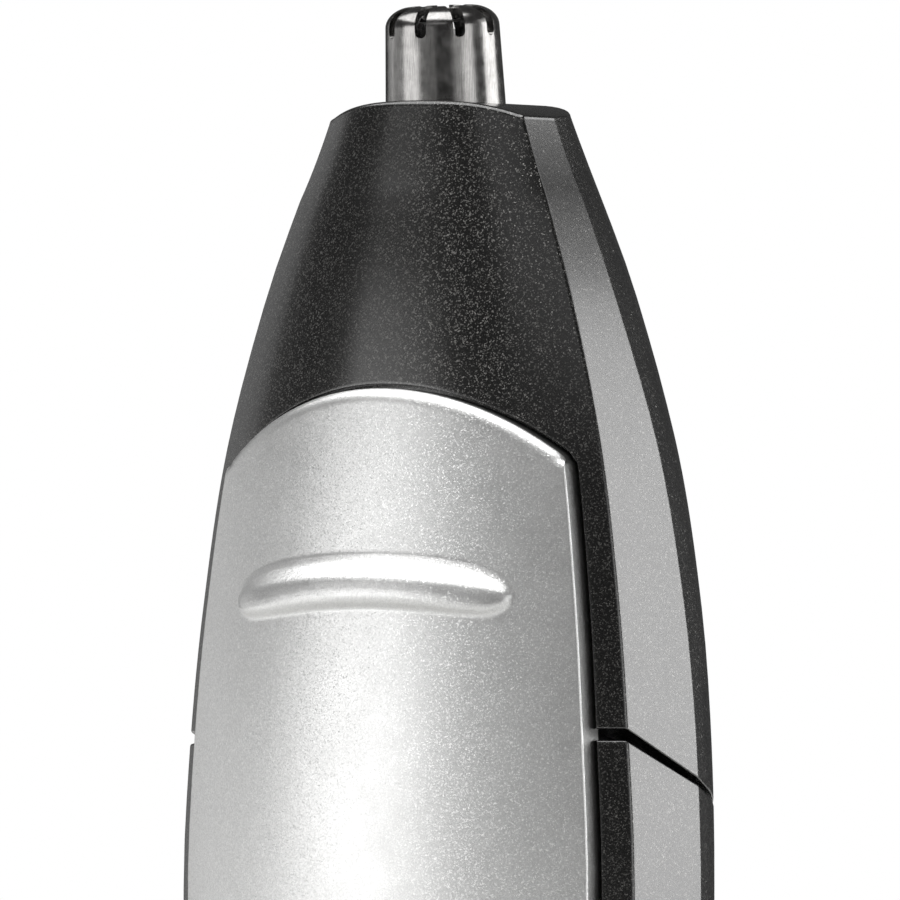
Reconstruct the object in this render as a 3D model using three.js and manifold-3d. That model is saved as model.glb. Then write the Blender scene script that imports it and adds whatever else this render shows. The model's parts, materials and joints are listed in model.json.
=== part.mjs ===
// Battery nose and ear hair trimmer, standing upright on its battery cap.
// Millimetres, +Z up along the body, front (switch panel) towards -Y, origin at the middle of the base.
import * as THREE from "three";
import { mergeVertices } from "three/addons/utils/BufferGeometryUtils.js";
import Module from "manifold-3d";

const wasm = await Module();
wasm.setup();

// ---------------------------------------------------------------- driving dimensions
const WALL = 1.5; // moulded wall of the head and the handle
const SLIP = 0.4; // clearance of a piece that fits inside a moulded wall
const FIT = 0.3; // gap between neighbouring pieces
const BACK_ARC_RATIO = 2.5; // radius of the back face, in half-widths

// Cross-sections of the body. w: half-width at the front creases; crease: their y; slope: angle of the
// crowned front face at the crease; corner: y where the flat side facet ends; r: radius of the rear corners.
const STATIONS = [
  { z: 0, w: 12.7, crease: -4.7, slope: 33, corner: 3.0, r: 5.2 },
  { z: 12, w: 13.6, crease: -4.9, slope: 33, corner: 3.0, r: 5.2 },
  { z: 36, w: 15.2, crease: -5.0, slope: 34, corner: 2.7, r: 5.3 },
  { z: 60, w: 16.2, crease: -5.0, slope: 34, corner: 2.4, r: 5.4 },
  { z: 79, w: 16.5, crease: -5.0, slope: 34, corner: 2.1, r: 5.6 },
  { z: 88, w: 16.0, crease: -4.95, slope: 34, corner: 2.3, r: 6.2 },
  { z: 96, w: 15.2, crease: -4.75, slope: 33, corner: 2.2, r: 6.9 },
  { z: 105.3, w: 13.7, crease: -4.45, slope: 31, corner: 1.65, r: 7.6 },
  { z: 114.3, w: 11.2, crease: -3.95, slope: 30, corner: 0.8, r: 8.0 },
  { z: 120.3, w: 9.0, crease: -3.45, slope: 30, corner: 0.5, r: 6.7 },
  { z: 124.7, w: 7.1, crease: -3.05, slope: 30, corner: 0.3, r: 5.3 },
];

// Cutting unit. Its axis leans forwards and passes through SHOULDER, where the steel tube leaves the head.
const LEAN = THREE.MathUtils.degToRad(4.15);
const SHOULDER = { y: -0.97, z: 126.3 };
const TUBE = { base: 3.6, neck: 3.43, top: 5.8, wall: 0.5, flange: 4.3, shoulder: 1.4, dimple: 0.45 };
const SLOTS = { count: 9, width: 0.74, bottom: 3.8, inner: 1.3, first: 12 };

// Parting line between head and handle: level across the front, then falling towards the back.
const JOINT = { head: 88.45, handle: 87.75, bend: -5.0, headFall: 0.4, handleFall: 0.36 };

// Sliding switch panel.
const PANEL = {
  top: 109.0, bottom: 36.0, arc: 19.5, share: 0.885, proud: 0.87, skin: 1.5, gap: 0.25, travel: 3.0,
  recess: 0.9, floor: 0.6,
};
const RIB = { middle: 97.4, arc: 48, above: 1.6, below: 1.6, crest: -0.7, half: 9.95, proud: 0.8 };
// Switch inside the handle: half-height and half-width of the carrier, half-width of the wall slot, y levels.
const SWITCH = { z: 70, half: 5, wide: 3.6, slot: 2.4, plate: -7.4, thick: 0.5, contact: -6.2 };

// Drive.
const MOTOR = { y: 0.85, wide: 15.5, deep: 11, bottom: 71.8, top: 92, boss: 2.0, shaft: 0.75 };
const PLATE = { z: 93.3, t: 1.5 };
const DOG = { bottom: 96.5, hub: 2.2, tip: 104.2, r: 3.1, slot: 1.7 };
const CELL = { r: 7.1, y: 0.35, bottom: 13.7, can: 49.2, nub: 1.3, nubR: 2.6 };

// Battery cap.
const CAP = { top: 9.6, plug: 13.2, round: 1.6 };
const HOUSING_BOTTOM = CAP.top + SLIP;

// ---------------------------------------------------------------- materials
const finish = (color, roughness, metalness) =>
  new THREE.MeshStandardMaterial({ color, roughness, metalness });
const BLACK = finish(0x2b2b29, 0.35, 0.4);
const SILVER = finish(0xb9b9b8, 0.4, 0.8);
const STEEL = finish(0x9a9a98, 0.2, 1.0);
const BLADE_STEEL = finish(0x8c8c8c, 0.3, 1.0);
const INNER_PLASTIC = finish(0x3a3a3a, 0.6, 0.0);
const WHITE_PLASTIC = finish(0xd8d6cf, 0.5, 0.0);
const RUBBER = finish(0x161616, 0.9, 0.0);
const BRASS = finish(0xc9a24a, 0.3, 1.0);
const CELL_SKIN = finish(0x4c6a4f, 0.4, 0.2);

// ---------------------------------------------------------------- solids
function solid(geometry) {
  const g = geometry.clone();
  g.deleteAttribute("normal");
  g.deleteAttribute("uv");
  const merged = mergeVertices(g, 1e-4);
  return new wasm.Manifold(
    new wasm.Mesh({
      numProp: 3,
      vertProperties: merged.attributes.position.array,
      triVerts: new Uint32Array(merged.index.array),
    }),
  );
}

function geometryOf(body) {
  const mesh = body.getMesh();
  const g = new THREE.BufferGeometry();
  g.setAttribute("position", new THREE.BufferAttribute(mesh.vertProperties, 3));
  g.setIndex(new THREE.BufferAttribute(mesh.triVerts, 1));
  g.computeVertexNormals();
  return g;
}

function box(x0, x1, y0, y1, z0, z1) {
  const g = new THREE.BoxGeometry(x1 - x0, y1 - y0, z1 - z0);
  return solid(g.translate((x0 + x1) / 2, (y0 + y1) / 2, (z0 + z1) / 2));
}

function rod(r, z0, z1, x = 0, y = 0, sides = 24) {
  const g = new THREE.CylinderGeometry(r, r, z1 - z0, sides).rotateX(Math.PI / 2);
  return solid(g.translate(x, y, (z0 + z1) / 2));
}

const rodAlongY = (r, y0, y1, x, z, sides = 16) =>
  solid(new THREE.CylinderGeometry(r, r, y1 - y0, sides).translate(x, (y0 + y1) / 2, z));

// A body of revolution about Z from a closed [radius, z] profile, listed counter-clockwise.
function turned(profile, sides = 32) {
  const points = [...profile, profile[0]].map(([r, z]) => new THREE.Vector2(r, z));
  return solid(new THREE.LatheGeometry(points, sides).rotateX(Math.PI / 2));
}

// A flat outline in X and Y, drawn counter-clockwise, extruded from z0 to z1.
function prism(points, z0, z1) {
  const shape = new THREE.Shape(points.map(([x, y]) => new THREE.Vector2(x, y)));
  const g = new THREE.ExtrudeGeometry(shape, { depth: z1 - z0, bevelEnabled: false });
  return solid(g.translate(0, 0, z0));
}

// The same for an outline in X and Z, extruded from y0 to y1.
const prismAlongY = (points, y0, y1) =>
  prism(points, -y1, -y0).rotate([90, 0, 0]);

// The same for an outline in Y and Z, extruded from -half to half along X.
const prismAlongX = (points, half) =>
  prism(points, -half, half).rotate([90, 0, 90]);

const union = (...bodies) => bodies.reduce((a, b) => a.add(b));

const without = (body, ...cuts) => cuts.reduce((a, b) => a.subtract(b), body);

// ---------------------------------------------------------------- body surface
// Cubic through the stations, with the slope of the chord between a station's neighbours.
function stationValue(key, z) {
  const last = STATIONS.length - 1;
  let i = STATIONS.findIndex((s, k) => k < last && z <= STATIONS[k + 1].z);
  if (i < 0) i = last - 1;
  const slopeAt = (k) => {
    const a = STATIONS[Math.max(k - 1, 0)];
    const b = STATIONS[Math.min(k + 1, last)];
    return (b[key] - a[key]) / (b.z - a.z);
  };
  const a = STATIONS[i];
  const b = STATIONS[i + 1];
  const span = b.z - a.z;
  const t = (z - a.z) / span;
  const fromA = 2 * t ** 3 - 3 * t ** 2 + 1;
  const tangentA = (t ** 3 - 2 * t ** 2 + t) * span;
  const tangentB = (t ** 3 - t ** 2) * span;
  return fromA * a[key] + (1 - fromA) * b[key] + tangentA * slopeAt(i) + tangentB * slopeAt(i + 1);
}

const FRONT_STEPS = 10;
const CORNER_STEPS = 4;
const BACK_STEPS = 4;

// Outline of the body at height z, moved inwards by inset, counter-clockwise from the left front crease.
function outline(z, inset = 0) {
  const w = stationValue("w", z);
  const crease = stationValue("crease", z);
  const slope = THREE.MathUtils.degToRad(stationValue("slope", z));
  const corner = stationValue("corner", z);
  const r = stationValue("r", z);
  const points = [];
  const frontR = w / Math.sin(slope);
  for (let i = 0; i <= FRONT_STEPS; i++) {
    const a = slope * ((2 * i) / FRONT_STEPS - 1);
    points.push([frontR * Math.sin(a), crease - frontR * (Math.cos(a) - Math.cos(slope))]);
  }
  const backR = BACK_ARC_RATIO * w;
  const lean = Math.asin((w - r) / (backR - r));
  const cornerArc = [];
  for (let i = 0; i <= CORNER_STEPS; i++) {
    const a = (Math.PI / 2 - lean) * (i / CORNER_STEPS);
    cornerArc.push([w - r + r * Math.cos(a), corner + r * Math.sin(a)]);
  }
  points.push(...cornerArc);
  const backY = corner + r * Math.cos(lean) - backR * Math.cos(lean);
  for (let i = 1; i < BACK_STEPS; i++) {
    const a = lean * (1 - (2 * i) / BACK_STEPS);
    points.push([backR * Math.sin(a), backY + backR * Math.cos(a)]);
  }
  points.push(...cornerArc.reverse().map(([x, y]) => [-x, y]));
  return inset === 0 ? points : moveIn(points, inset);
}

// Moves each corner of a convex outline inwards along its bisector, so that every side moves by one distance.
function moveIn(points, distance) {
  const n = points.length;
  const inward = (a, b) => {
    const length = Math.hypot(b[0] - a[0], b[1] - a[1]);
    return [-(b[1] - a[1]) / length, (b[0] - a[0]) / length];
  };
  return points.map((p, i) => {
    const before = inward(points[(i + n - 1) % n], p);
    const after = inward(p, points[(i + 1) % n]);
    const scale = distance / (1 + before[0] * after[0] + before[1] * after[1]);
    return [p[0] + (before[0] + after[0]) * scale, p[1] + (before[1] + after[1]) * scale];
  });
}

// Closed solid through rings of 3-D points, all with the same count, from bottom to top.
function skinned(rings) {
  const n = rings[0].length;
  const vertices = rings.flat();
  const faces = [];
  for (let k = 0; k + 1 < rings.length; k++) {
    for (let i = 0; i < n; i++) {
      const j = (i + 1) % n;
      const [a, b, c, d] = [k * n + i, k * n + j, (k + 1) * n + j, (k + 1) * n + i];
      faces.push(a, b, c, a, c, d);
    }
  }
  const middle = (ring) => ring.reduce((m, p) => m.map((v, k) => v + p[k] / n), [0, 0, 0]);
  const bottom = vertices.push(middle(rings[0])) - 1;
  const top = vertices.push(middle(rings.at(-1))) - 1;
  const lastRing = (rings.length - 1) * n;
  for (let i = 0; i < n; i++) {
    const j = (i + 1) % n;
    faces.push(bottom, j, i);
    faces.push(top, lastRing + i, lastRing + j);
  }
  const g = new THREE.BufferGeometry();
  g.setAttribute("position", new THREE.Float32BufferAttribute(vertices.flat(), 3));
  g.setIndex(faces);
  return solid(g);
}

// Heights at which the body surface is sampled between z0 and z1.
const RING_PITCH = 8;
function heights(z0, z1) {
  const count = Math.max(1, Math.round((z1 - z0) / RING_PITCH));
  return Array.from({ length: count + 1 }, (_, i) => z0 + ((z1 - z0) * i) / count);
}

const ringAt = (z, inset = 0) => outline(z, inset).map(([x, y]) => [x, y, z]);
const body = (z0, z1, inset = 0) => skinned(heights(z0, z1).map((z) => ringAt(z, inset)));

// Ring that follows the body outline between two insets.
const band = (z0, z1, outer, inner) => body(z0, z1, outer).subtract(body(z0 - 1, z1 + 1, inner));

// The head's top face: level across the middle and falling off to the sides.
const MAIN_TOP = STATIONS.at(-1).z;
const TOP = { z: 126.15, from: 120.3, half: 7.1, fall: 1.0, edge: 0.35 };
const topZ = (x) => TOP.z - TOP.fall * Math.abs(x / TOP.half) ** 3;

// Places a solid drawn on the cutting axis, with z 0 at the shoulder, into the part's frame.
const leaning = (drawn) =>
  drawn.rotate([THREE.MathUtils.radToDeg(LEAN), 0, 0]).translate([0, SHOULDER.y, SHOULDER.z]);

// ---------------------------------------------------------------- switch panel outline
const panelHalf = (z) => PANEL.share * stationValue("w", z);

// Front view outline of the panel in X and Z, grown by gap, and lengthened at the lower end by extra.
function panelOutline(gap, extra = 0) {
  const top = PANEL.top + gap;
  const bottom = PANEL.bottom - gap - extra;
  const arc = PANEL.arc + gap;
  const sagOf = (half) => arc - Math.sqrt(arc ** 2 - half ** 2);
  const endHalf = (end, up) => {
    let half = panelHalf(end) + gap;
    for (let i = 0; i < 20; i++) half = panelHalf(end - up * sagOf(half)) + gap;
    return half;
  };
  const arch = (end, up) => {
    const half = endHalf(end, up);
    const reach = Math.asin(half / arc);
    return Array.from({ length: 13 }, (_, i) => {
      const a = reach * (1 - i / 6);
      return [arc * Math.sin(a), end - up * (arc - arc * Math.cos(a))];
    });
  };
  const upper = arch(top, 1);
  const lower = arch(bottom, -1).map(([x, z]) => [-x, z]);
  const side = heights(lower.at(-1)[1], upper[0][1]).slice(1, -1);
  return [
    ...upper,
    ...side.toReversed().map((z) => [-panelHalf(z) - gap, z]),
    ...lower,
    ...side.map((z) => [panelHalf(z) + gap, z]),
  ];
}

// ---------------------------------------------------------------- pieces of the head
// Space inside the moulded wall, drawn in by slip. Behind the switch panel, in the front half, the wall is thicker.
const THICK_WALL = { y: -2.5, bottom: 28 };
function hollow(z0, z1, slip = 0) {
  const front = box(-20, 20, -20, THICK_WALL.y + slip, THICK_WALL.bottom - slip, z1 + 1);
  const thinWalled = body(z0, z1, WALL + slip);
  if (z1 < THICK_WALL.bottom) return thinWalled;
  return thinWalled.subtract(front).add(body(z0, z1, WALL + PANEL.floor + slip));
}

// Ring that follows the inside of the wall, between two slips.
const lining = (z0, z1, outer, inner) => hollow(z0, z1, outer).subtract(hollow(z0 - 1, z1 + 1, inner));

// Everything in front of the recess floor of the panel, within the panel's outline.
function recess(extra) {
  const inFront = body(20, 112, -3).subtract(body(15, 115, PANEL.recess));
  return inFront.intersect(prismAlongY(panelOutline(PANEL.gap, extra), -20, 0));
}

const JOINT_BACK = 14;
const jointAt = (y, z, fall) => z - Math.max(0, y - JOINT.bend) * fall;

// Everything above the parting line of the head, or below that of the handle.
function sideOfJoint(above) {
  const z = above ? JOINT.head : JOINT.handle;
  const fall = above ? JOINT.headFall : JOINT.handleFall;
  const end = above ? 140 : -10;
  const edge = [[-20, z], [JOINT.bend, z], [JOINT_BACK, jointAt(JOINT_BACK, z, fall)]];
  const points = [...edge, [JOINT_BACK, end], [-20, end]];
  return prismAlongX(above ? points : points.reverse(), 30);
}

function headShell() {
  const rings = heights(78, TOP.from).map((z) => ringAt(z));
  for (const t of [0.4, 0.7, 1]) {
    const z = THREE.MathUtils.lerp(TOP.from, MAIN_TOP, t);
    rings.push(outline(z).map(([x, y]) => [x, y, THREE.MathUtils.lerp(TOP.from, topZ(x) - TOP.edge, t)]));
  }
  const onTop = (inset, share, lower) =>
    outline(MAIN_TOP, inset)
      .map(([x, y]) => [x * share, SHOULDER.y + (y - SHOULDER.y) * share])
      .map(([x, y]) => [x, y, topZ(x) - lower]);
  rings.push(onTop(0.1, 1, 0.1), onTop(TOP.edge, 1, 0), onTop(TOP.edge, 0.75, 0), onTop(TOP.edge, 0.5, 0));
  return skinned(rings);
}

function headHousing() {
  const cavityTop = 118;
  const pockets = leaning(union(rod(TUBE.base + 0.1, -12, 3), rod(TUBE.flange + 0.1, -12, -4.1)));
  return headShell()
    .intersect(sideOfJoint(true))
    .subtract(hollow(75, cavityTop))
    .subtract(pockets)
    .subtract(recess(0));
}

function outerBlade() {
  const { base, neck, top, wall, flange, shoulder, dimple } = TUBE;
  const arc = (r) =>
    [0, 22.5, 45, 67.5, 90].map((deg) => {
      const a = THREE.MathUtils.degToRad(deg);
      return [neck - shoulder + r * Math.cos(a), top - shoulder + r * Math.sin(a)];
    });
  const crown = (z) => [[1.4, z - 0.12], [1.0, z - dimple], [0, z - dimple]];
  const outer = [[flange, -4.2], [base + 0.02, -4.2], [base, 0], ...arc(shoulder), ...crown(top)];
  const inner = [...arc(shoulder - wall), ...crown(top - wall)].reverse();
  const shell = turned([[flange, -5], ...outer, ...inner, [base - wall, 0], [base - wall, -5]], 45);
  const slot = box(SLOTS.inner, 5, -SLOTS.width / 2, SLOTS.width / 2, SLOTS.bottom, 8);
  const cuts = Array.from({ length: SLOTS.count }, (_, i) =>
    slot.rotate([0, 0, SLOTS.first - 90 + (360 / SLOTS.count) * i]));
  return leaning(without(shell, ...cuts));
}

const bladeRetainer = () =>
  leaning(turned([[3.4, -8], [TUBE.flange, -8], [TUBE.flange, -5.3], [3.4, -5.3]]));
const shaftBush = () => leaning(turned([[1.1, -4.8], [3.0, -4.8], [3.0, -3], [1.1, -3]]));

// ---------------------------------------------------------------- spinning cutter
function innerBlade() {
  const vane = 0.55;
  const reach = TUBE.neck - TUBE.wall - 0.15;
  const envelope = turned([[0, 2.4], [reach, 2.4], [reach, 4.3], [2.3, 4.7], [0, 4.7]]);
  const vanes = [0, 45, 90, 135].map((deg) =>
    box(-4, 4, -vane / 2, vane / 2, 2, 7).intersect(envelope).rotate([0, 0, deg]));
  const hub = turned([[0, 1.5], [1.7, 1.5], [1.7, 4.4], [0, 4.4]]);
  return leaning(union(hub, ...vanes));
}

const bladeShaft = () => leaning(rod(1.0, -21.4, 1.2, 0, 0, 16));

function drivenDog() {
  const collar = turned([[1.05, -21.6], [2.6, -21.6], [2.6, -19.6], [1.05, -19.6]], 24);
  const tongue = box(-2.5, 2.5, -0.9, 0.9, -24.2, -21.6);
  return leaning(union(collar, tongue));
}

function coil(r0, r1, wire, z0, z1, turns, sides) {
  const steps = turns * 12;
  const points = Array.from({ length: steps + 1 }, (_, i) => {
    const a = (i / 12) * 2 * Math.PI;
    const r = r0 + ((r1 - r0) * i) / steps;
    return new THREE.Vector3(r * Math.cos(a), r * Math.sin(a), z0 + ((z1 - z0) * i) / steps);
  });
  const section = Array.from({ length: sides }, (_, i) => {
    const a = (2 * Math.PI * i) / sides;
    return new THREE.Vector2(wire * Math.cos(a), wire * Math.sin(a));
  });
  const options = { steps, extrudePath: new THREE.CatmullRomCurve3(points), bevelEnabled: false };
  return solid(new THREE.ExtrudeGeometry(new THREE.Shape(section), options));
}

// ---------------------------------------------------------------- drive in the handle
function motorOutline(gap) {
  const half = MOTOR.wide / 2 + gap;
  const flat = MOTOR.deep / 2 + gap;
  const reach = Math.asin(flat / half);
  const arc = Array.from({ length: 9 }, (_, i) => reach * (i / 4 - 1));
  const right = arc.map((a) => [half * Math.cos(a), MOTOR.y + half * Math.sin(a)]);
  return [...right, ...right.map(([x, y]) => [-x, 2 * MOTOR.y - y])];
}

const MOTOR_SCREW_X = 4.6;
const alongShaft = (r, z0, z1) => rod(r, z0, z1, 0, MOTOR.y);

function motorCan() {
  const can = prism(motorOutline(0), MOTOR.bottom, MOTOR.top);
  const boss = alongShaft(MOTOR.boss, MOTOR.top - 0.1, MOTOR.top + 1);
  return without(
    union(can, boss),
    alongShaft(MOTOR.shaft + 0.05, MOTOR.top - 5, MOTOR.top + 2),
    rod(0.85, MOTOR.top - 2.5, MOTOR.top + 1, MOTOR_SCREW_X, MOTOR.y, 12),
    rod(0.85, MOTOR.top - 2.5, MOTOR.top + 1, -MOTOR_SCREW_X, MOTOR.y, 12),
  );
}

const motorEndBell = () => prism(motorOutline(-0.3), MOTOR.bottom - 2.4, MOTOR.bottom - FIT);
const motorShaft = () => alongShaft(MOTOR.shaft, MOTOR.top - 4.5, DOG.bottom + DOG.hub - 0.2);

function motorScrew(side) {
  const x = side * MOTOR_SCREW_X;
  const under = PLATE.z + PLATE.t + 0.1;
  const washerHead = rod(1.4, under, under + 0.8, x, MOTOR.y, 16);
  return union(washerHead, rod(0.75, MOTOR.top - 2.2, under + 0.1, x, MOTOR.y, 12));
}

function shaftSeal() {
  const seat = PLATE.z + PLATE.t + 0.1;
  return turned([[1.0, seat], [2.6, seat], [2.6, 96.2], [1.0, 96.2]], 24).translate([0, MOTOR.y, 0]);
}

function driveDog() {
  const floor = DOG.bottom + DOG.hub;
  const slot = box(-5, 5, MOTOR.y - DOG.slot, MOTOR.y + DOG.slot, floor, DOG.tip + 1);
  const bore = alongShaft(MOTOR.shaft + 0.05, DOG.bottom - 1, floor - 0.1);
  return without(alongShaft(DOG.r, DOG.bottom, DOG.tip), slot, bore);
}

const couplingSpring = () =>
  coil(1.3, 1.3, 0.2, DOG.bottom + DOG.hub + 0.3, 101.4, 3, 6).translate([0, MOTOR.y, 0]);

// ---------------------------------------------------------------- handle
function wallSlot() {
  const reach = SWITCH.half + 0.6;
  return box(-SWITCH.slot, SWITCH.slot, -14, -5, SWITCH.z - reach - PANEL.travel, SWITCH.z + reach);
}

function handleHousing() {
  const shell = body(HOUSING_BOTTOM, 96).intersect(sideOfJoint(false));
  return shell.subtract(hollow(5, 100)).subtract(recess(PANEL.travel)).subtract(wallSlot());
}

const SEAL = { z: 90.3, height: 0.8, squeeze: 0.25, depth: 0.65 };
const sealRing = (z) => lining(z, z + SEAL.height, SEAL.squeeze, SLIP + SEAL.depth);
const sealGroove = (z) => lining(z - 0.1, z + SEAL.height + 0.1, -0.2, SLIP + SEAL.depth + 0.05);

function chassis() {
  const top = PLATE.z + PLATE.t;
  const neck = lining(79, top, SLIP, SLIP + 1.2);
  const plate = hollow(PLATE.z, top, SLIP);
  const bulkhead = hollow(65.4, 66.9, SLIP);
  const cradle = union(box(-8.5, 8.5, -4, 10, 14.2, 66), prism(motorOutline(1.1), 66, top));
  const pockets = union(
    rod(CELL.r + FIT, 10, 65.4, 0, CELL.y, 32),
    prism(motorOutline(FIT), 66.9, PLATE.z),
    alongShaft(MOTOR.boss + 0.3, 90, 97),
    rod(0.85, 90, 97, MOTOR_SCREW_X, MOTOR.y, 12),
    rod(0.85, 90, 97, -MOTOR_SCREW_X, MOTOR.y, 12),
    box(-6, 6, -20, SWITCH.contact + 0.3, 60, 84),
    box(-10, -7.4, -2.1, 2.1, 0, 71),
    box(2.6, 5.4, -3, 2.6, 60, 68),
    sealGroove(SEAL.z),
  );
  return union(neck, plate, bulkhead, cradle).intersect(hollow(14.2, top, SLIP)).subtract(pockets);
}

function batteryCell() {
  const { r, bottom, can, nub, nubR } = CELL;
  const top = bottom + can;
  const profile = [[0, bottom], [r, bottom], [r, top], [nubR, top], [nubR, top + nub], [0, top + nub]];
  return turned(profile).translate([0, CELL.y, 0]);
}

const contactPlus = () =>
  union(box(-3, 5, -1.5, 2.3, 64.5, 64.9), box(3.4, 5, 0.8, 2.3, 64.8, 69));
const negativeStrip = () =>
  union(box(-9.6, -9.2, -1.5, 1.5, 14.6, 70.4), box(-9.3, -7.9, -1.5, 1.5, 70.0, 70.4));
const switchContact = (side) =>
  box(side * 2.1 - 0.9, side * 2.1 + 0.9, SWITCH.contact, SWITCH.contact + 0.25, 75.2, 81);

// ---------------------------------------------------------------- sliding switch
const PANEL_BOSSES = [SWITCH.z - 2.4, SWITCH.z + 2.4];
const CARRIER_BACK = SWITCH.plate + SWITCH.thick;

// Height of the crowned front face at x and z.
function frontY(x, z) {
  const slope = THREE.MathUtils.degToRad(stationValue("slope", z));
  const r = stationValue("w", z) / Math.sin(slope);
  return stationValue("crease", z) - Math.sqrt(r * r - x * x) + r * Math.cos(slope);
}

// Arched thumb rib: long upper slope, steep lower flank, running out at both ends.
function panelRib() {
  const steps = 24;
  const rings = Array.from({ length: steps + 1 }, (_, i) => {
    const t = (2 * i) / steps - 1;
    const x = RIB.half * Math.sin((t * Math.PI) / 2);
    const end = Math.sqrt(Math.max(1 - (x / RIB.half) ** 6, 0.002));
    const middle = RIB.middle - RIB.arc + Math.sqrt(RIB.arc ** 2 - x * x);
    const at = (dz, proud) => [x, frontY(x, middle + dz * end) - PANEL.proud - proud, middle + dz * end];
    return [
      at(-RIB.below, -0.4),
      at(RIB.above, -0.4),
      at(RIB.above, 0.02),
      at(RIB.above * 0.1, RIB.proud * 0.75 * end),
      at(RIB.crest, RIB.proud * end),
      at(-RIB.below, 0.02),
    ];
  });
  return skinned(rings);
}

function switchPanel() {
  const skin = body(25, 115, -PANEL.proud).subtract(body(24, 116, PANEL.skin - PANEL.proud));
  const plate = skin.intersect(prismAlongY(panelOutline(0), -20, -2));
  const bosses = PANEL_BOSSES.map((z) => rodAlongY(1.6, -9.4, SWITCH.plate - 0.1, 0, z));
  const bores = PANEL_BOSSES.map((z) => rodAlongY(0.8, -9.3, SWITCH.plate, 0, z, 12));
  return without(union(plate, panelRib(), ...bosses), ...bores);
}

function switchCarrier() {
  const { z, half, wide } = SWITCH;
  const plate = box(-wide, wide, SWITCH.plate, CARRIER_BACK, z - half, z + half);
  return without(plate, ...PANEL_BOSSES.map((at) => rodAlongY(0.8, -8, -5, 0, at, 12)));
}

function panelScrew(z) {
  const seat = CARRIER_BACK + 0.05;
  return union(rodAlongY(1.3, seat, seat + 0.4, 0, z), rodAlongY(0.7, -9.1, seat + 0.1, 0, z, 12));
}

function switchBridge() {
  const low = SWITCH.z + SWITCH.half - 0.6;
  return box(-3.0, 3.0, CARRIER_BACK + 0.05, CARRIER_BACK + 0.3, low, low + 3);
}

// ---------------------------------------------------------------- battery cap
const CAP_SEAL = 10.95;

function baseCap() {
  const foot = [
    outline(0, CAP.round).map(([x, y]) => [x, y, 0]),
    outline(0.5, CAP.round * 0.3).map(([x, y]) => [x, y, CAP.round * 0.3]),
    ringAt(CAP.round),
    ringAt(CAP.top),
  ];
  const plug = hollow(CAP.top - 1, CAP.plug, SLIP);
  const well = rod(6.6, 4, CAP.plug + 1, 0, CELL.y, 32);
  return without(union(skinned(foot), plug), sealGroove(CAP_SEAL), well);
}

const capContact = () => rod(6.2, 4.1, 4.5, 0, CELL.y, 32);
const batterySpring = () => coil(5.4, 3.2, 0.35, 4.95, CELL.bottom - 0.45, 4, 6).translate([0, CELL.y, 0]);

// ---------------------------------------------------------------- assembly
const trimmer = new THREE.Group();

function add(name, made, material) {
  const mesh = new THREE.Mesh(geometryOf(made), material);
  mesh.name = name;
  trimmer.add(mesh);
}

add("head_housing", headHousing(), BLACK);
add("outer_blade", outerBlade(), STEEL);
add("blade_retainer", bladeRetainer(), INNER_PLASTIC);
add("shaft_bush", shaftBush(), WHITE_PLASTIC);

add("inner_blade", innerBlade(), BLADE_STEEL);
add("blade_shaft", bladeShaft(), STEEL);
add("driven_dog", drivenDog(), WHITE_PLASTIC);
add("motor_shaft", motorShaft(), STEEL);
add("drive_dog", driveDog(), WHITE_PLASTIC);
add("coupling_spring", couplingSpring(), STEEL);

add("handle_housing", handleHousing(), BLACK);
add("chassis", chassis(), INNER_PLASTIC);
add("motor_can", motorCan(), STEEL);
add("motor_end_bell", motorEndBell(), WHITE_PLASTIC);
add("motor_screw_left", motorScrew(-1), STEEL);
add("motor_screw_right", motorScrew(1), STEEL);
add("shaft_seal", shaftSeal(), RUBBER);
add("neck_seal", sealRing(SEAL.z), RUBBER);
add("battery_cell", batteryCell(), CELL_SKIN);
add("contact_plus", contactPlus(), BRASS);
add("negative_strip", negativeStrip(), BRASS);
add("switch_contact_left", switchContact(-1), BRASS);
add("switch_contact_right", switchContact(1), BRASS);

add("switch_panel", switchPanel(), SILVER);
add("switch_carrier", switchCarrier(), INNER_PLASTIC);
add("panel_screw_lower", panelScrew(PANEL_BOSSES[0]), STEEL);
add("panel_screw_upper", panelScrew(PANEL_BOSSES[1]), STEEL);
add("switch_bridge", switchBridge(), BRASS);

add("base_cap", baseCap(), BLACK);
add("cap_seal", sealRing(CAP_SEAL), RUBBER);
add("cap_contact", capContact(), BRASS);
add("battery_spring", batterySpring(), STEEL);

export default trimmer;
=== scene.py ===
"""Looks of the nose and ear hair trimmer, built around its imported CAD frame.

The outer shells, the switch panel and the cutter tube are rebuilt as fine grids that follow the CAD
surface, with real wall thickness, rounded rims and parting lines. The inner pieces keep their CAD meshes.
Shapes are drawn in millimetres and scaled to metres when a mesh is made.
"""
import json
import math

import bmesh
import bpy
import numpy as np
from mathutils import Matrix, Vector

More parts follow.
